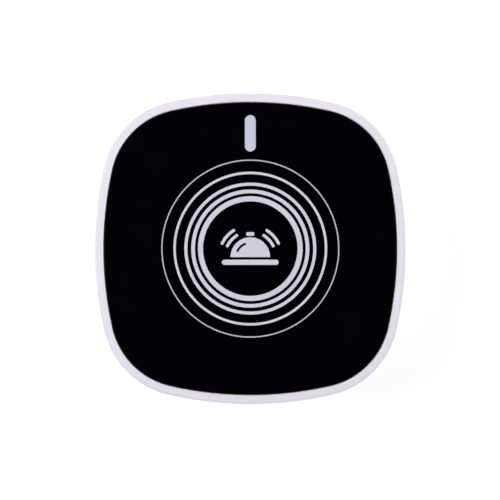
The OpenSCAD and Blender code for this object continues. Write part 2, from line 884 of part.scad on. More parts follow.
module circuit_board() {
    color(board_green)
    slab(board_z, board_top) difference() {
        outline(-tongue_in - board_gap);
        at_corners(screw_at) {
            circle(d = screw_boss_d + 2 * board_gap);
            rotate(45) translate([0, -rib_t / 2 - board_gap]) square([screw_inset, rib_t + 2 * board_gap]);
        }
        at_board_bosses() circle(r = board_hole_r);
    }
}

module board_screws() {
    color(steel)
    at_board_bosses() screw(board_z, board_screw_d, board_screw_l, board_head_d, board_head_h);
}

module switch_base() {
    base_top = switch_top - switch_cover_t;
    well_r = plunger_d / 2 + plunger_flange_w + plunger_gap;
    well_z = base_top - plunger_flange_w - button_travel - free_gap;
    color(chip_black)
    difference() {
        slab(board_top, base_top) square(switch_w, center = true);
        slab(well_z, base_top + cut) circle(r = well_r);
    }
}

module switch_cover() {
    color(steel)
    slab(switch_top - switch_cover_t, switch_top) difference() {
        square(switch_w, center = true);
        circle(r = plunger_d / 2 + plunger_gap);
    }
}

module switch_leads() {
    color(steel)
    for (side = [0, 1]) {
        for (y = [-switch_lead_y, switch_lead_y]) {
            rotate(180 * side) translate([switch_w / 2, y, board_top]) lead(switch_lead_z, switch_lead_w);
        }
    }
}

module status_led() {
    color(nylon)
    difference() {
        slab(board_top, board_top + led_h) translate([0, bar_y]) square([led_w, led_l], center = true);
        slab(board_top + led_h - led_well, board_top + led_h + cut)
            translate([0, bar_y]) circle(d = led_w - 2 * led_wall_t);
    }
}

module radio_chip() {
    color(chip_black)
    difference() {
        slab(board_top + seat_gap, board_top + chip_h)
            translate([-side_parts_x, 0]) square([chip_w, chip_l], center = true);
        slab(board_top + chip_h - chip_mark_depth, board_top + chip_h + cut)
            translate([chip_mark_inset - chip_w / 2 - side_parts_x, chip_l / 2 - chip_mark_inset])
                circle(d = chip_mark_d);
    }
}

module chip_leads() {
    first = -(chip_leads_n - 1) / 2;
    color(steel)
    for (side = [0, 1]) {
        for (i = [0 : chip_leads_n - 1]) {
            translate([-side_parts_x, 0, board_top]) rotate(180 * side)
                translate([chip_w / 2, (first + i) * chip_pitch, 0]) lead(chip_h / 2, chip_lead_w);
        }
    }
}

module crystal() {
    foot = 2 * lead_t;
    color(steel)
    translate([side_parts_x, 0]) {
        slab(board_top, board_top + crystal_h) stadium(crystal_l - foot, crystal_w - foot);
        slab(board_top, board_top + foot) stadium(crystal_l, crystal_w);
    }
}

// Chip capacitors in two rows beside the switch, and one pair beside the lamp
module chip_capacitors() {
    beside_led = led_w / 2 + capacitor_gap + capacitor[0] / 2;
    middle_z = board_top + capacitor[2] / 2;
    color(nylon)
    for (side = [-1, 1]) {
        for (i = [-1 : 1]) {
            translate([capacitor_at[0] * i, capacitor_at[1] * side, middle_z]) cube(capacitor, center = true);
        }
        translate([beside_led * side, bar_y, middle_z]) cube(capacitor, center = true);
    }
}

// The coil's wire rises from the board beside the first turn and goes down beside the last half turn
coil_z = board_top + coil_wire / 2 + coil_d / 2 + free_gap;
coil_steps = 24;
coil_sides = 6;
coil_half = (coil_turns + 0.5) * coil_pitch / 2;
function coil_point(turn) = [
    turn * coil_pitch - coil_half,
    -coil_y + coil_d / 2 * cos(360 * turn),
    coil_z + coil_d / 2 * sin(360 * turn)
];
coil_path = concat(
    [[-coil_half, -coil_y + coil_d / 2, board_top]],
    [for (i = [0 : coil_turns * coil_steps + coil_steps / 2]) coil_point(i / coil_steps)],
    [[coil_half, -coil_y - coil_d / 2, board_top]]
);
coil_free_gap = min([
    for (i = [1 : coil_steps], j = [i + coil_steps / 2 : i + 2 * coil_steps])
        norm(coil_path[i] - coil_path[j]) - coil_wire
]);

module antenna_coil() {
    count = len(coil_path);
    function along(i) = coil_path[min(i + 1, count - 1)] - coil_path[max(i - 1, 0)];
    function across(i) = cross(along(i), [1, 0, 0]) / norm(cross(along(i), [1, 0, 0]));
    function beside(i) = cross(along(i), across(i)) / norm(along(i));
    function end_flat(i, v) = i == 0 || i == count - 1 ? [v[0], v[1], 0] : v;
    points = [
        for (i = [0 : count - 1], s = [0 : coil_sides - 1])
            let (a = 360 * s / coil_sides)
                coil_path[i] + end_flat(i, coil_wire / 2 * (cos(a) * across(i) + sin(a) * beside(i)))
    ];
    function at(i, s) = i * coil_sides + s % coil_sides;
    skin = [
        for (i = [0 : count - 2], s = [0 : coil_sides - 1], half = [0, 1])
            half == 0
                ? [at(i, s), at(i + 1, s), at(i + 1, s + 1)]
                : [at(i, s), at(i + 1, s + 1), at(i, s + 1)]
    ];
    ends = [
        for (s = [1 : coil_sides - 2], end = [0, 1])
            end == 0
                ? [at(0, 0), at(0, s), at(0, s + 1)]
                : [at(count - 1, 0), at(count - 1, s + 1), at(count - 1, s)]
    ];
    echo(least_gap_between_turns = coil_free_gap);
    color(copper) polyhedron(points, concat(skin, ends));
}

front_case();
rear_cover();
case_gasket();
case_screws();
front_panel();
panel_adhesive();
panel_rings();
light_pipe();
button_cap();
button_ring();
switch_plunger();
battery_door();
door_seal();
coin_cell();
cell_holder();
contact_positive();
contact_negative();
circuit_board();
board_screws();
switch_base();
switch_cover();
switch_leads();
status_led();
radio_chip();
chip_leads();
crystal();
chip_capacitors();
antenna_coil();
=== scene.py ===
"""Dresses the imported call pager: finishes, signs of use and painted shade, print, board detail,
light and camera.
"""

import json
import math

import bmesh
import bpy
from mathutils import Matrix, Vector


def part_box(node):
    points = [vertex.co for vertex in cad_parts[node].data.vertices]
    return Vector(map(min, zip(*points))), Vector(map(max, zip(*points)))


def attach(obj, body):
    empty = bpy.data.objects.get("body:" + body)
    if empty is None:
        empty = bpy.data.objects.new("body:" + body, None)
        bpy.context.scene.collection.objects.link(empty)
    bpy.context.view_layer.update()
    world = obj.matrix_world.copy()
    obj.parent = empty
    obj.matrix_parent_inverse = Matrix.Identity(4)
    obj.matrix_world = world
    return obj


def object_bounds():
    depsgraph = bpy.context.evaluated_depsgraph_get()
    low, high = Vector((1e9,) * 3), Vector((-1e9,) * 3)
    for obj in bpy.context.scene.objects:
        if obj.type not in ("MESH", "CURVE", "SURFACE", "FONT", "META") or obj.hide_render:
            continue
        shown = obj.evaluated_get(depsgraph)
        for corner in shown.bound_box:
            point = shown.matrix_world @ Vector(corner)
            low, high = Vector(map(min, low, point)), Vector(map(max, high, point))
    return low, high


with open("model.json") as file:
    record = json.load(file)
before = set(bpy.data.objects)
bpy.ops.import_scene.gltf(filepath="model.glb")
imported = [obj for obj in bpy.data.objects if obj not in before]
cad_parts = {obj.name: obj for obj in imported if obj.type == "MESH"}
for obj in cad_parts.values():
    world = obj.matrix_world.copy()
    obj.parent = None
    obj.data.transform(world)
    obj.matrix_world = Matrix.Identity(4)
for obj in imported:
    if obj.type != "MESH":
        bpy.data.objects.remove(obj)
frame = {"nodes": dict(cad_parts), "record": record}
cad_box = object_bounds()

MM = 0.001
scene = bpy.context.scene
scene.view_settings.view_transform = "Standard"


# Node helpers

NOISE_SPAN = (0.3, 0.7)
MIX_SOCKETS = {"RGBA": ((0, 6, 7), 2), "FLOAT": ((0, 2, 3), 0)}


def add(tree, kind, **values):
    """Adds a shader node. A value goes to the property of that name, or else to the socket."""
    made = tree.nodes.new(kind)
    for name, value in values.items():
        if hasattr(made, name):
            setattr(made, name, value)
        else:
            made.inputs[name.replace("_", " ")].default_value = value
    return made


def feed(tree, socket, value):
    """Links an output to a socket, or sets a colour or a number on it."""
    if isinstance(value, tuple):
        socket.default_value = (*value, 1)
    elif isinstance(value, float):
        socket.default_value = value
    else:
        tree.links.new(value, socket)


def object_coordinates(tree, **mapping):
    """Coordinates in metres that stay with the piece, changed by the mapping node's values."""
    place = add(tree, "ShaderNodeTexCoord")
    made = add(tree, "ShaderNodeMapping", **mapping)
    tree.links.new(place.outputs["Object"], made.inputs["Vector"])
    return made.outputs["Vector"]


def drawn_out(tree, angle, stretch):
    """Coordinates in metres, drawn out by stretch along a direction across the back."""
    turn = (0, 0, math.radians(angle))
    return object_coordinates(tree, vector_type="TEXTURE", Rotation=turn, Scale=(stretch, 1, 1))


def noise(tree, vector, size, detail, roughness=0.5):
    """Noise whose blobs are about as wide as size, in metres."""
    made = add(tree, "ShaderNodeTexNoise", Scale=1 / size, Detail=detail, Roughness=roughness)
    tree.links.new(vector, made.inputs["Vector"])
    return made.outputs["Fac"]


def between(tree, value, low, high, span=NOISE_SPAN, ease="LINEAR"):
    """Carries a value from its span, at first that of noise, to the range from low to high."""
    made = add(
        tree, "ShaderNodeMapRange", interpolation_type=ease,
        From_Min=span[0], From_Max=span[1], To_Min=low, To_Max=high,
    )
    tree.links.new(value, made.inputs["Value"])
    return made.outputs["Result"]


def blend(tree, kind, *values):
    """Mixes by a factor, the first value, two colours for kind RGBA or two numbers for FLOAT."""
    made = add(tree, "ShaderNodeMix", data_type=kind)
    sockets, result = MIX_SOCKETS[kind]
    for index, value in zip(sockets, values):
        feed(tree, made.inputs[index], value)
    return made.outputs[result]


def maths(tree, operation, *values):
    """One step of arithmetic on outputs or numbers."""
    made = add(tree, "ShaderNodeMath", operation=operation)
    for socket, value in zip(made.inputs, values):
        feed(tree, socket, value)
    return made.outputs[0]


def times(tree, first, second):
    """Product of two outputs."""
    return maths(tree, "MULTIPLY", first, second)


def above_back(tree):
    """Height above the resting face, in metres."""
    split = add(tree, "ShaderNodeSeparateXYZ")
    tree.links.new(object_coordinates(tree), split.inputs[0])
    return split.outputs["Z"]


def from_axis(tree):
    """Distance from the middle axis of the button and the door, in metres."""
    made = add(tree, "ShaderNodeVectorMath", operation="LENGTH")
    tree.links.new(object_coordinates(tree, Scale=(1, 1, 0)), made.inputs[0])
    return made.outputs["Value"]


def near(tree, value, target, reach):
    """1 where a value meets its target, and 0 from reach away on."""
    apart = maths(tree, "ABSOLUTE", maths(tree, "SUBTRACT", value, target))
    return between(tree, apart, 1, 0, span=(0, reach))


def lay_over(material, name, kind, mask, value):
    """Mixes a value over what the named socket of a finish has, where the mask is 1."""
    tree = material.node_tree
    socket = tree.nodes["Principled BSDF"].inputs[name]
    below = socket.links[0].from_socket
    tree.links.new(blend(tree, kind, mask, below, value), socket)


def stain(material, mask, colour):
    """Mixes a colour into a finish where the mask is 1."""
    lay_over(material, "Base Color", "RGBA", mask, colour)


def rub(material, mask, roughness):
    """Mixes a roughness into a finish where the mask is 1."""
    lay_over(material, "Roughness", "FLOAT", mask, roughness)


# Finishes, one for each material slot of the record

PATCH_DETAIL = 4
WEAR_DETAIL = 5
WEAR_PER_PATCH = 3
GRAIN_DETAIL = 3
GRAIN_ROUGHNESS = 0.6


def finish(name, colour, other, patch, gloss, grain, depth, stretch=(1, 1, 1), **fixed):
    """A procedural finish: two close colours in patches, uneven gloss and a grain of some depth."""
    material = bpy.data.materials.new(name)
    material.use_nodes = True
    tree = material.node_tree
    shader = tree.nodes["Principled BSDF"]
    for socket, value in fixed.items():
        shader.inputs[socket.replace("_", " ")].default_value = value
    vector = object_coordinates(tree, Scale=stretch)
    patches = between(tree, noise(tree, vector, patch, PATCH_DETAIL), 0, 1)
    tree.links.new(blend(tree, "RGBA", patches, colour, other), shader.inputs["Base Color"])
    wear = between(tree, noise(tree, vector, patch / WEAR_PER_PATCH, WEAR_DETAIL), *gloss)
    tree.links.new(wear, shader.inputs["Roughness"])
    bump = add(tree, "ShaderNodeBump", Strength=1.0, Distance=depth)
    rise = noise(tree, vector, grain, GRAIN_DETAIL, GRAIN_ROUGHNESS)
    tree.links.new(rise, bump.inputs["Height"])
    tree.links.new(bump.outputs["Normal"], shader.inputs["Normal"])
    return material


FINISHES = {
    "case_white": finish(
        "white_moulded", (0.79, 0.757, 0.842), (0.81, 0.775, 0.862),
        patch=9 * MM, gloss=(0.40, 0.50), grain=0.24 * MM, depth=0.045 * MM,
        Specular_IOR_Level=0.4,
    ),
    "panel_black": finish(
        "black_panel", (0.0005, 0.0004, 0.0013), (0.0010, 0.0008, 0.0022),
        patch=6 * MM, gloss=(0.28, 0.33), grain=0.14 * MM, depth=0.004 * MM,
        Specular_IOR_Level=0.09,
    ),
    "button_black": finish(
        "black_button", (0.0006, 0.0005, 0.0014), (0.0010, 0.0008, 0.0020),
        patch=4 * MM, gloss=(0.26, 0.30), grain=0.12 * MM, depth=0.003 * MM,
        Specular_IOR_Level=0.09,
    ),
    "ring_ink": finish(
        "pale_ink", (0.60, 0.60, 0.685), (0.65, 0.65, 0.735),
        patch=1.2 * MM, gloss=(0.45, 0.60), grain=0.08 * MM, depth=0.004 * MM,
        Specular_IOR_Level=0.35,
    ),
    "lens_milky": finish(
        "milky_lens", (0.56, 0.58, 0.69), (0.585, 0.605, 0.715),
        patch=2.5 * MM, gloss=(0.30, 0.34), grain=0.4 * MM, depth=0.0006 * MM,
        Specular_IOR_Level=0.4,
    ),
    "adhesive_tape": finish(
        "foam_tape", (0.70, 0.69, 0.65), (0.78, 0.77, 0.73),
        patch=2 * MM, gloss=(0.70, 0.90), grain=0.15 * MM, depth=0.02 * MM,
    ),
    "seal_silicone": finish(
        "grey_silicone", (0.15, 0.155, 0.165), (0.18, 0.185, 0.195),
        patch=3 * MM, gloss=(0.50, 0.65), grain=0.1 * MM, depth=0.006 * MM,
    ),
    "screw_steel": finish(
        "zinc_steel", (0.52, 0.52, 0.53), (0.60, 0.60, 0.61),
        patch=0.8 * MM, gloss=(0.27, 0.40), grain=0.10 * MM, depth=0.002 * MM,
        Metallic=1.0,
    ),
    "tinned_metal": finish(
        "tinned_sheet", (0.58, 0.58, 0.58), (0.68, 0.68, 0.67),
        patch=1.0 * MM, gloss=(0.24, 0.36), grain=0.35 * MM, depth=0.0015 * MM,
        Metallic=1.0,
    ),
    "cell_steel": finish(
        "drawn_steel", (0.56, 0.56, 0.56), (0.64, 0.64, 0.64),
        patch=1.5 * MM, gloss=(0.20, 0.34), grain=0.12 * MM, depth=0.003 * MM,
        stretch=(1, 0.04, 1), Metallic=1.0,
    ),
    "contact_gold": finish(
        "flash_gold", (0.74, 0.54, 0.23), (0.80, 0.60, 0.28),
        patch=1.0 * MM, gloss=(0.20, 0.34), grain=0.1 * MM, depth=0.003 * MM,
        Metallic=1.0,
    ),
    "board_green": finish(
        "solder_mask", (0.008, 0.085, 0.034), (0.014, 0.12, 0.05),
        patch=1.4 * MM, gloss=(0.22, 0.34), grain=0.35 * MM, depth=0.01 * MM,
    ),
    "part_black": finish(
        "black_epoxy", (0.018, 0.018, 0.020), (0.026, 0.026, 0.028),
        patch=1.0 * MM, gloss=(0.45, 0.60), grain=0.07 * MM, depth=0.005 * MM,
    ),
    "part_ivory": finish(
        "ivory_ceramic", (0.62, 0.58, 0.46), (0.70, 0.66, 0.54),
        patch=0.8 * MM, gloss=(0.35, 0.50), grain=0.06 * MM, depth=0.003 * MM,
    ),
    "wire_copper": finish(
        "enamelled_copper", (0.62, 0.27, 0.12), (0.74, 0.35, 0.17),
        patch=0.9 * MM, gloss=(0.18, 0.30), grain=0.1 * MM, depth=0.002 * MM,
        Metallic=1.0,
    ),
}

# Finishes of print and plating that the record has no slot for

GREY_INK = finish(
    "grey_ink", (0.22, 0.22, 0.24), (0.28, 0.28, 0.30),
    patch=0.8 * MM, gloss=(0.50, 0.65), grain=0.08 * MM, depth=0.003 * MM,
)

COVERED_COPPER = finish(
    "covered_copper", (0.040, 0.20, 0.080), (0.050, 0.23, 0.095),
    patch=1.4 * MM, gloss=(0.22, 0.34), grain=0.35 * MM, depth=0.01 * MM,
)


# Signs of use on the case, the panel and the button, and painted shade in the case's groove, door
# gap and coin slot

# Colour for grime with painted shade in the parting groove and round the door, and painted shade in
# the coin slot
GRIME_AND_PAINTED_SHADE = (0.40, 0.37, 0.40)
GRIME_AND_SHADE_PATCH = 9 * MM
GRIME_AND_SHADE_DETAIL = 3
GRIME_AND_SHADE_SHARE = (0.30, 0.65)
SEAM_Z = 5.0 * MM
SEAM_REACH = 0.4 * MM
BACK_REACH = 0.5 * MM
DOOR_R = 12.9 * MM
DOOR_REACH = 0.5 * MM
SLOT_REACH = (5.0 * MM, 6.0 * MM)
SLOT_DEPTH = 0.8 * MM

SCUFF = (0.62, 0.59, 0.66)
SCUFF_PATCH = 16 * MM
SCUFF_DETAIL = 2
SCUFF_SPAN = (0.42, 0.62)
SCRATCH_W = 0.35 * MM
SCRATCH_DETAIL = 2
SCRATCH_SPAN = (0.61, 0.72)
SCRATCH_SHARE = 0.4
SCRATCH_GLOSS = 0.28
# Direction in degrees and stretch of each set of scratches
SCRATCHES = ((18, 45), (67, 25), (141, 60), (112, 30))

FINGER_PATCH = 14 * MM
FINGER_DETAIL = 6
FINGER_ROUGHNESS = 0.6
FINGER_SPAN = (0.48, 0.66)
FINGER_GLOSS = 0.35
POLISH_R = (3 * MM, 10 * MM)
POLISH_GLOSS = 0.22

FINE_RING_R = 18.76 * MM
FINE_RING_REACH = 1.2 * MM
FINE_INK = (0.50, 0.50, 0.565)


def use_case():
    """Grime and painted shade in the parting groove and round the door, painted shade in the coin
    slot, a scuffed back.
    """
    case = FINISHES["case_white"]
    tree = case.node_tree
    grime_and_shade_noise = noise(tree, object_coordinates(tree), GRIME_AND_SHADE_PATCH, GRIME_AND_SHADE_DETAIL)
    grime_and_shade_share = between(tree, grime_and_shade_noise, *GRIME_AND_SHADE_SHARE)
    seam = near(tree, above_back(tree), SEAM_Z, SEAM_REACH)
    on_back = near(tree, above_back(tree), 0.0, BACK_REACH)
    round_door = times(tree, near(tree, from_axis(tree), DOOR_R, DOOR_REACH), on_back)
    door_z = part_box("battery_door")[0].z
    depth = between(tree, above_back(tree), 0, 1, span=(door_z, door_z + SLOT_DEPTH))
    in_slot = times(tree, depth, between(tree, from_axis(tree), 1, 0, span=SLOT_REACH))
    # Painted shade: the groove and the door's gap darken with grime and shade, and the coin slot
    # gets darker the deeper it goes
    for place in (seam, round_door, in_slot):
        stain(case, times(tree, place, grime_and_shade_share), GRIME_AND_PAINTED_SHADE)
    handled = noise(tree, object_coordinates(tree), SCUFF_PATCH, SCUFF_DETAIL)
    worn = times(tree, between(tree, handled, 0, 1, span=SCUFF_SPAN), on_back)
    for angle, stretch in SCRATCHES:
        lines = noise(tree, drawn_out(tree, angle, stretch), SCRATCH_W, SCRATCH_DETAIL)
        scratches = times(tree, between(tree, lines, 0, SCRATCH_SHARE, span=SCRATCH_SPAN), worn)
        stain(case, scratches, SCUFF)
        rub(case, scratches, SCRATCH_GLOSS)


def use_front():
    """Faint finger marks on the panel, and a button that fingers have polished in the middle."""
    panel = FINISHES["panel_black"]
    tree = panel.node_tree
    touched = noise(tree, object_coordinates(tree), FINGER_PATCH, FINGER_DETAIL, FINGER_ROUGHNESS)
    rub(panel, between(tree, touched, 0, 1, span=FINGER_SPAN), FINGER_GLOSS)
    button = FINISHES["button_black"]
    tree = button.node_tree
    rub(button, between(tree, from_axis(tree), 1, 0, span=POLISH_R), POLISH_GLOSS)


def thin_ink():
    """Thinner ink on the finest ring, which the black shows through."""
    ink = FINISHES["ring_ink"]
    tree = ink.node_tree
    stain(ink, near(tree, from_axis(tree), FINE_RING_R, FINE_RING_REACH), FINE_INK)


use_case()
use_front()
thin_ink()

for part in frame["record"]["subparts"]:
    for slot in frame["nodes"][part["node"]].material_slots:
        slot.material = FINISHES[part["material_slot"]]


# Print: a service bell in the middle of the button, and arrows on the battery door

INK_T = 0.03 * MM
ARC_STEP = 2
END_STEP = 5
CAP_STEP = 15

DOME_R = 4.2 * MM
DOME_Y = -1.8 * MM
SHINE_R = (2.75 * MM, 3.25 * MM)
SHINE_TURN = (108, 158)
BASE_Y = -2.9 * MM
BASE_SIZE = (12.0 * MM, 1.1 * MM)
KNOB_Y = 3.1 * MM
KNOB_SIZE = (1.8 * MM, 0.8 * MM)
WAVE_R = (5.4 * MM, 6.65 * MM)
WAVE_W = 0.62 * MM
WAVE_TURN = (26, 58)

ARROW_R = 8.4 * MM
ARROW_W = 0.8 * MM
ARROW_TURN = (118, 66)
ARROW_HEAD = 10


def on_circle(x, y, r, angle):
    """Point on a circle about x, y, at an angle in degrees."""
    turn = math.radians(angle)
    return x + r * math.cos(turn), y + r * math.sin(turn)


def arc(x, y, r, start, end, step):
    """Points on a circle about x, y, from the start angle to the end, which step reaches."""
    past = end + (1 if step > 0 else -1)
    return [on_circle(x, y, r, angle) for angle in range(start, past, step)]


def bar(x, y, width, tall):
    """Outline of a round-ended bar that lies flat."""
    r = tall / 2
    reach = width / 2 - r
    return arc(x + reach, y, r, -90, 90, END_STEP) + arc(x - reach, y, r, 90, 270, END_STEP)


def wave(r, start, end):
    """Outline of a round-ended arc about the middle of the dome."""
    half = WAVE_W / 2
    first = on_circle(0, DOME_Y, r, start)
    last = on_circle(0, DOME_Y, r, end)
    outer = arc(0, DOME_Y, r + half, start, end, ARC_STEP)
    cap = arc(*last, half, end + CAP_STEP, end + 180 - CAP_STEP, CAP_STEP)
    inner = arc(0, DOME_Y, r - half, end, start, -ARC_STEP)
    foot = arc(*first, half, start + 180 + CAP_STEP, start + 360 - CAP_STEP, CAP_STEP)
    return outer + cap + inner + foot


def turn_arrow(start, end):
    """Outline of an arc about the door's axis from start back to end, with a pointed head."""
    half = ARROW_W / 2
    outer = arc(0, 0, ARROW_R + half, start, end, -ARC_STEP)
    point = [
        on_circle(0, 0, ARROW_R + ARROW_W, end),
        on_circle(0, 0, ARROW_R, end - ARROW_HEAD),
        on_circle(0, 0, ARROW_R - ARROW_W, end),
    ]
    inner = arc(0, 0, ARROW_R - half, end, start, ARC_STEP)
    return outer + point + inner


def fill(bm, outline):
    """One flat face inside an outline."""
    bm.faces.new([bm.verts.new((x, y, 0)) for x, y in outline])


def dome_faces(bm):
    """Half a disc in rings of small faces, with a curved window where the shine is."""
    turns = range(0, 181, ARC_STEP)
    rings = (*SHINE_R, DOME_R)
    rows = [[bm.verts.new((*on_circle(0, DOME_Y, r, a), 0)) for a in turns] for r in rings]
    middle = bm.verts.new((0, DOME_Y, 0))
    for i, a in enumerate(turns[:-1]):
        bm.faces.new((middle, rows[0][i], rows[0][i + 1]))
        if not SHINE_TURN[0] <= a < SHINE_TURN[1]:
            bm.faces.new((rows[0][i], rows[1][i], rows[1][i + 1], rows[0][i + 1]))
        bm.faces.new((rows[1][i], rows[2][i], rows[2][i + 1], rows[1][i + 1]))


def leftward(loop, flat):
    """A loop of indices into flat points, turned to run anticlockwise."""
    corners = [(flat[a], flat[b]) for a, b in zip(loop, loop[1:] + loop[:1])]
    area = sum(p[0] * q[1] - q[0] * p[1] for p, q in corners)
    return loop if area > 0 else loop[::-1]


def raise_faces(name, bm, z, thickness, body, material):
    """Lifts flat faces off a surface and makes them a closed piece that rides on a body."""
    bm.verts.index_update()
    flat = [(v.co.x, v.co.y) for v in bm.verts]
    loops = [leftward([v.index for v in face.verts], flat) for face in bm.faces]
    bm.free()
    count = len(flat)
    edges = [(a, b) for loop in loops for a, b in zip(loop, loop[1:] + loop[:1])]
    shared = set(edges)
    walls = [(a, b, b + count, a + count) for a, b in edges if (b, a) not in shared]
    bottoms = [loop[::-1] for loop in loops]
    tops = [[i + count for i in loop] for loop in loops]
    places = [(x, y, glow_with_painted_foot_shadow) for glow_with_painted_foot_shadow in sorted((z, z + thickness)) for x, y in flat]
    mesh = bpy.data.meshes.new(name)
    mesh.from_pydata(places, [], bottoms + tops + walls)
    piece = bpy.data.objects.new(name, mesh)
    scene.collection.objects.link(piece)
    mesh.materials.append(material)
    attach(piece, body)
    return piece


def bell_print():
    """The symbol as closed islands of ink on the button's face."""
    bm = bmesh.new()
    dome_faces(bm)
    fill(bm, bar(0, BASE_Y, *BASE_SIZE))
    fill(bm, bar(0, KNOB_Y, *KNOB_SIZE))
    start, end = WAVE_TURN
    for r in WAVE_R:
        fill(bm, wave(r, start, end))
        fill(bm, wave(r, 180 - end, 180 - start))
    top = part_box("button_cap")[1].z
    piece = raise_faces("bell_print", bm, top, INK_T, "button", FINISHES["ring_ink"])


def door_arrows():
    """Two printed arrows beside the coin slot that show which way the door opens."""
    bm = bmesh.new()
    start, end = ARROW_TURN
    for turn in (0, 180):
        fill(bm, turn_arrow(start + turn, end + turn))
    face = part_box("battery_door")[0].z
    raise_faces("door_arrows", bm, face, -INK_T, "door", GREY_INK)


bell_print()
door_arrows()


# Tracks, solder pads and printed outlines on the board, with places in millimetres across its face

TRACK_T = 0.035 * MM
TRACK_W = 0.35 * MM
PAD_T = 0.05 * MM
LINE_W = 0.2 * MM
LEAD_PITCH = 1.27
TRACKS = (
    ((-16, 0), (-7.7, 0), (-5.6, 2.1), (-4, 2.1)),
    ((-16, 1.27), (-13.2, 1.27), (-8.2, 6.27), (-8.2, 9.9), (-6.7, 11.4)),
    ((-16, 2.54), (-14.4, 2.54), (-9.9, 7.04), (-9.9, 19.45), (-4.9, 24.45)),
    ((-16, 3.81), (-15.2, 3.81), (-12.2, 6.81), (-12.2, 13)),
    ((-16, -1.27), (-8.5, -1.27), (-5.4, -4.37), (9.6, -4.37), (11.53, -2.44), (17.6, -2.44)),
    ((-16, -2.54), (-13.5, -2.54), (-8.5, -7.54), (-8.5, -9.6), (-6.7, -11.4)),
    ((-16, -3.81), (-15, -3.81), (-10.5, -8.31), (-10.5, -15), (-6.8, -18.7)),
    ((-4.7, -11.4), (-1, -11.4)),
    ((1, -11.4), (4.7, -11.4)),
    ((6.7, -11.4), (8.2, -11.4), (9.4, -12.6), (9.4, -19.7), (6.8, -22.3)),
    ((-4.7, 11.4), (-1, 11.4)),
    ((1, 11.4), (4.7, 11.4)),
    ((6.7, 11.4), (8.4, 11.4), (13.4, 6.4), (13.4, 4.6), (15.56, 2.44), (17.6, 2.44)),
    ((4, 2.1), (6.5, 2.1), (7.5, 3.1), (7.5, 6)),
    ((4.9, 24.45), (7.5, 21.85), (7.5, 17)),
    ((-3, 24.45), (-2.2, 23.65), (-1, 22.45)),
    ((3, 24.45), (2.2, 25.25), (1, 26.45)),
)
CHIP_PADS = [(x, LEAD_PITCH * i) for x in (-22, -16) for i in range(-3, 4)]
CAPACITORS = [(x, y) for x in (-5.7, 0, 5.7) for y in (-11.4, 11.4)] + [(-3.9, 24.45), (3.9, 24.45)]
CAPACITOR_PADS = [(x + side, y) for x, y in CAPACITORS for side in (-1, 1)]
SWITCH_PADS = [(x, y) for x in (-4, 4) for y in (-2.1, 2.1)]
LAMP_PADS = [(0, 22.45), (0, 26.45)]
ROUND_PADS = [(-6.8, -18.7), (6.8, -22.3), (-12.2, 13), (7.5, 6), (7.5, 17)]
# Places and size of each kind of pad
PADS = (
    (CHIP_PADS, (1.7, 0.62)),
    (CAPACITOR_PADS, (1.5, 1.4)),
    (SWITCH_PADS, (1.8, 1.2)),
    (LAMP_PADS, (2.4, 0.9)),
    (ROUND_PADS, (1.5, 1.4)),
)
# Middle and size of the outline of the chip, the crystal, the coil and the lamp
OUTLINES = (
    ((-19, 0), (8.4, 11.2)),
    ((19, 0), (5.0, 11.6)),
    ((0, -20.5), (16.4, 6.0)),
    ((0, 24.45), (4.4, 5.6)),
)
CORNERS = ((1, 1), (-1, 1), (-1, -1), (1, -1))


def track(route):
    """Outline of a strip along a broken line, with mitred bends."""
    points = [Vector(place) * MM for place in route]
    legs = [(b - a).normalized() for a, b in zip(points, points[1:])]
    left, right = [], []
    for point, into, out in zip(points, legs[:1] + legs, legs + legs[-1:]):
        bend = (into + out).normalized()
        across = Vector((-bend.y, bend.x)) * TRACK_W / 2 / bend.dot(into)
        left.append(point + across)
        right.append(point - across)
    return left + right[::-1]


def line_frame(bm, middle, size):
    """A rectangle drawn as a line, in four mitred faces."""
    x, y = middle
    loops = []
    for inset in (0, LINE_W):
        half = [length * MM / 2 - inset for length in size]
        at = [(x * MM + u * half[0], y * MM + v * half[1], 0) for u, v in CORNERS]
        loops.append([bm.verts.new(place) for place in at])
    outer, inner = loops
    for i in range(len(CORNERS)):
        bm.faces.new((outer[i - 1], outer[i], inner[i], inner[i - 1]))


def board_detail():
    """Tracks under the solder mask, tinned pads and printed outlines on the board's upper face."""
    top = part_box("circuit_board")[1].z
    bm = bmesh.new()
    for route in TRACKS:
        fill(bm, track(route))
    raise_faces("board_tracks", bm, top, TRACK_T, "housing", COVERED_COPPER)
    bm = bmesh.new()
    for places, (width, tall) in PADS:
        for x, y in places:
            fill(bm, bar(x * MM, y * MM, width * MM, tall * MM))
    piece = raise_faces("board_pads", bm, top, PAD_T, "housing", FINISHES["tinned_metal"])
    bm = bmesh.new()
    for middle, size in OUTLINES:
        line_frame(bm, middle, size)
    piece = raise_faces("board_print", bm, top, PAD_T, "housing", FINISHES["ring_ink"])


board_detail()


# Floor and studio light

FLOOR_SIDE = 6.0
FLOOR_GAP = 0.05 * MM
FLOOR_GLOW = 0.73
FLOOR_SHADE = 0.37
FLOOR_FADE = (0.05, 0.12)
# Floor glow at the object's foot, lowered there for a painted contact shadow
PAINTED_FOOT_SHADOW_GLOW = 0.40
FOOT_REACH = (30.5 * MM, 33.5 * MM)
OUTLINE_POWER = 3.0
SKY_LEVEL = 0.55
SKY_TOP = 0.01
SKY_FADE = (0.20, 0.80)
HORIZON = (-0.05, 0.05)
BOUNCE_LEVEL = 0.45
LAMP_AWAY = 0.65
LAMP_SIDE = 0.30
# Name, azimuth, elevation, power and tint of each lamp
LAMPS = (
    ("key", 95, 40, 0.66, (0.98, 0.985, 1.0)),
    ("left", 174, 40, 2.97, (0.985, 0.99, 1.0)),
    ("right", 6, 40, 2.36, (1.0, 0.985, 0.97)),
    ("front", 278, -14, 1.4, (1.0, 0.96, 0.95)),
    ("low", 60, -42, 1.6, (1.0, 1.0, 1.0)),
)
# Lamps that glossy surfaces mirror
SHINING = ("low",)


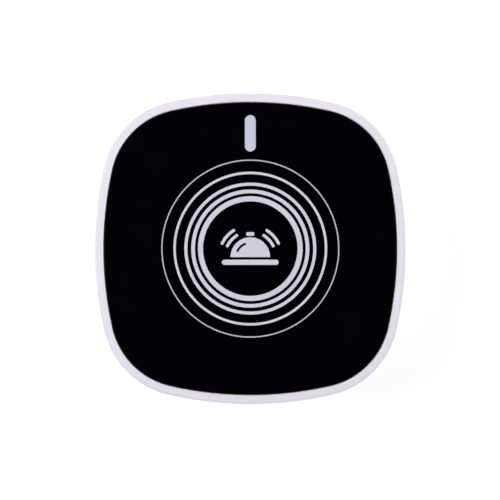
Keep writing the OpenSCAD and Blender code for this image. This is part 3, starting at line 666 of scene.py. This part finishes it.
def seen_directly(tree):
    """1 for rays that show a surface to the eye, also by way of metal or glass, and 0 for light."""
    path = add(tree, "ShaderNodeLightPath").outputs
    mirrored = maths(tree, "MAXIMUM", path["Is Glossy Ray"], path["Is Transmission Ray"])
    return maths(tree, "MAXIMUM", path["Is Camera Ray"], mirrored)


def from_outline(tree):
    """Distance from the middle axis that is the same all along the case's rounded square."""
    split = add(tree, "ShaderNodeSeparateXYZ")
    tree.links.new(object_coordinates(tree), split.inputs[0])
    sizes = [maths(tree, "ABSOLUTE", split.outputs[axis]) for axis in ("X", "Y")]
    powers = [maths(tree, "POWER", size, OUTLINE_POWER) for size in sizes]
    return maths(tree, "POWER", maths(tree, "ADD", *powers), 1 / OUTLINE_POWER)


def mix_shaders(tree, factor, first, second):
    """Shader that goes from the first to the second as the factor goes from 0 to 1."""
    made = add(tree, "ShaderNodeMixShader")
    for socket, output in zip(made.inputs, (factor, first, second)):
        tree.links.new(output, socket)
    return made.outputs[0]


def floor_material():
    """White to the eye, shaded by the object, with a painted shadow at its foot, and open to light
    from below.
    """
    material = bpy.data.materials.new("floor")
    material.use_nodes = True
    tree = material.node_tree
    tree.nodes.clear()
    shade = add(tree, "ShaderNodeBsdfDiffuse", Color=(FLOOR_SHADE, FLOOR_SHADE, FLOOR_SHADE, 1))
    glow = add(tree, "ShaderNodeEmission")
    # Painted shadow: the floor glows less under the object's foot, whatever the lamps do
    glow_with_painted_foot_shadow = between(tree, from_outline(tree), PAINTED_FOOT_SHADOW_GLOW, FLOOR_GLOW, span=FOOT_REACH)
    tree.links.new(glow_with_painted_foot_shadow, glow.inputs["Strength"])
    shaded = add(tree, "ShaderNodeAddShader")
    tree.links.new(shade.outputs[0], shaded.inputs[0])
    tree.links.new(glow.outputs[0], shaded.inputs[1])
    white = add(tree, "ShaderNodeEmission", Strength=1.0)
    far = between(tree, from_axis(tree), 0, 1, span=FLOOR_FADE)
    ground = mix_shaders(tree, far, shaded.outputs[0], white.outputs[0])
    side = add(tree, "ShaderNodeNewGeometry")
    from_above = maths(tree, "GREATER_THAN", seen_directly(tree), side.outputs["Backfacing"])
    clear = add(tree, "ShaderNodeBsdfTransparent")
    surface = mix_shaders(tree, from_above, clear.outputs[0], ground)
    out = add(tree, "ShaderNodeOutputMaterial")
    tree.links.new(surface, out.inputs["Surface"])
    return material


def make_floor():
    """A wide floor just under the resting face."""
    mesh = bpy.data.meshes.new("floor")
    half = FLOOR_SIDE / 2
    z = cad_box[0].z - FLOOR_GAP
    corners = [(-half, -half, z), (half, -half, z), (half, half, z), (-half, half, z)]
    mesh.from_pydata(corners, [], [(0, 1, 2, 3)])
    mesh.materials.append(floor_material())
    floor = bpy.data.objects.new("floor", mesh)
    scene.collection.objects.link(floor)


def make_sky():
    """A pale room with a dark ceiling, so that the black front stays black from above."""
    world = bpy.data.worlds.new("studio")
    scene.world = world
    world.use_nodes = True
    tree = world.node_tree
    place = add(tree, "ShaderNodeTexCoord")
    split = add(tree, "ShaderNodeSeparateXYZ")
    tree.links.new(place.outputs["Generated"], split.inputs[0])
    upward = split.outputs["Z"]
    ceiling = between(tree, upward, 1.0, SKY_TOP, span=SKY_FADE, ease="SMOOTHSTEP")
    light = between(tree, upward, BOUNCE_LEVEL, SKY_LEVEL, span=HORIZON)
    room = times(tree, ceiling, maths(tree, "MAXIMUM", light, seen_directly(tree)))
    path = add(tree, "ShaderNodeLightPath")
    strength = maths(tree, "MAXIMUM", room, path.outputs["Is Camera Ray"])
    background = tree.nodes["Background"]
    tree.links.new(strength, background.inputs["Strength"])
    background.inputs["Color"].default_value = (1, 1, 1, 1)


def make_lamp(name, azimuth, elevation, power, tint):
    """A soft square lamp that faces the object. Azimuth 0 is at +X and 90 at +Y."""
    light = bpy.data.lights.new(name, "AREA")
    light.shape = "SQUARE"
    light.size = LAMP_SIDE
    light.energy = power
    light.color = tint
    lamp = bpy.data.objects.new(name, light)
    a, e = math.radians(azimuth), math.radians(elevation)
    away = Vector((math.cos(a) * math.cos(e), math.sin(a) * math.cos(e), math.sin(e)))
    lamp.location = away * LAMP_AWAY
    lamp.rotation_euler = away.to_track_quat("Z", "Y").to_euler()
    lamp.visible_camera = False
    lamp.visible_glossy = name in SHINING
    scene.collection.objects.link(lamp)


make_floor()
make_sky()
for lamp in LAMPS:
    make_lamp(*lamp)


# Camera straight above the front, at the photograph's scale

LENS = 200.0
SENSOR = 36.0
CLIP = (0.01, 20)
FRAME_PX = 500
PX = 0.21263 * MM
EDGE_Z = 14.5 * MM
CENTRE_PX = (250.3, 248.6)


def make_camera():
    """Camera with the object's middle at CENTRE_PX, and PX to the pixel at the height EDGE_Z."""
    data = bpy.data.cameras.new("camera")
    data.lens = LENS
    data.sensor_width = SENSOR
    data.clip_start, data.clip_end = CLIP
    camera = bpy.data.objects.new("camera", data)
    away = PX * FRAME_PX * LENS / SENSOR
    x = (FRAME_PX / 2 - CENTRE_PX[0]) * PX
    y = (CENTRE_PX[1] - FRAME_PX / 2) * PX
    camera.location = (x, y, EDGE_Z + away)
    scene.collection.objects.link(camera)
    scene.camera = camera


make_camera()
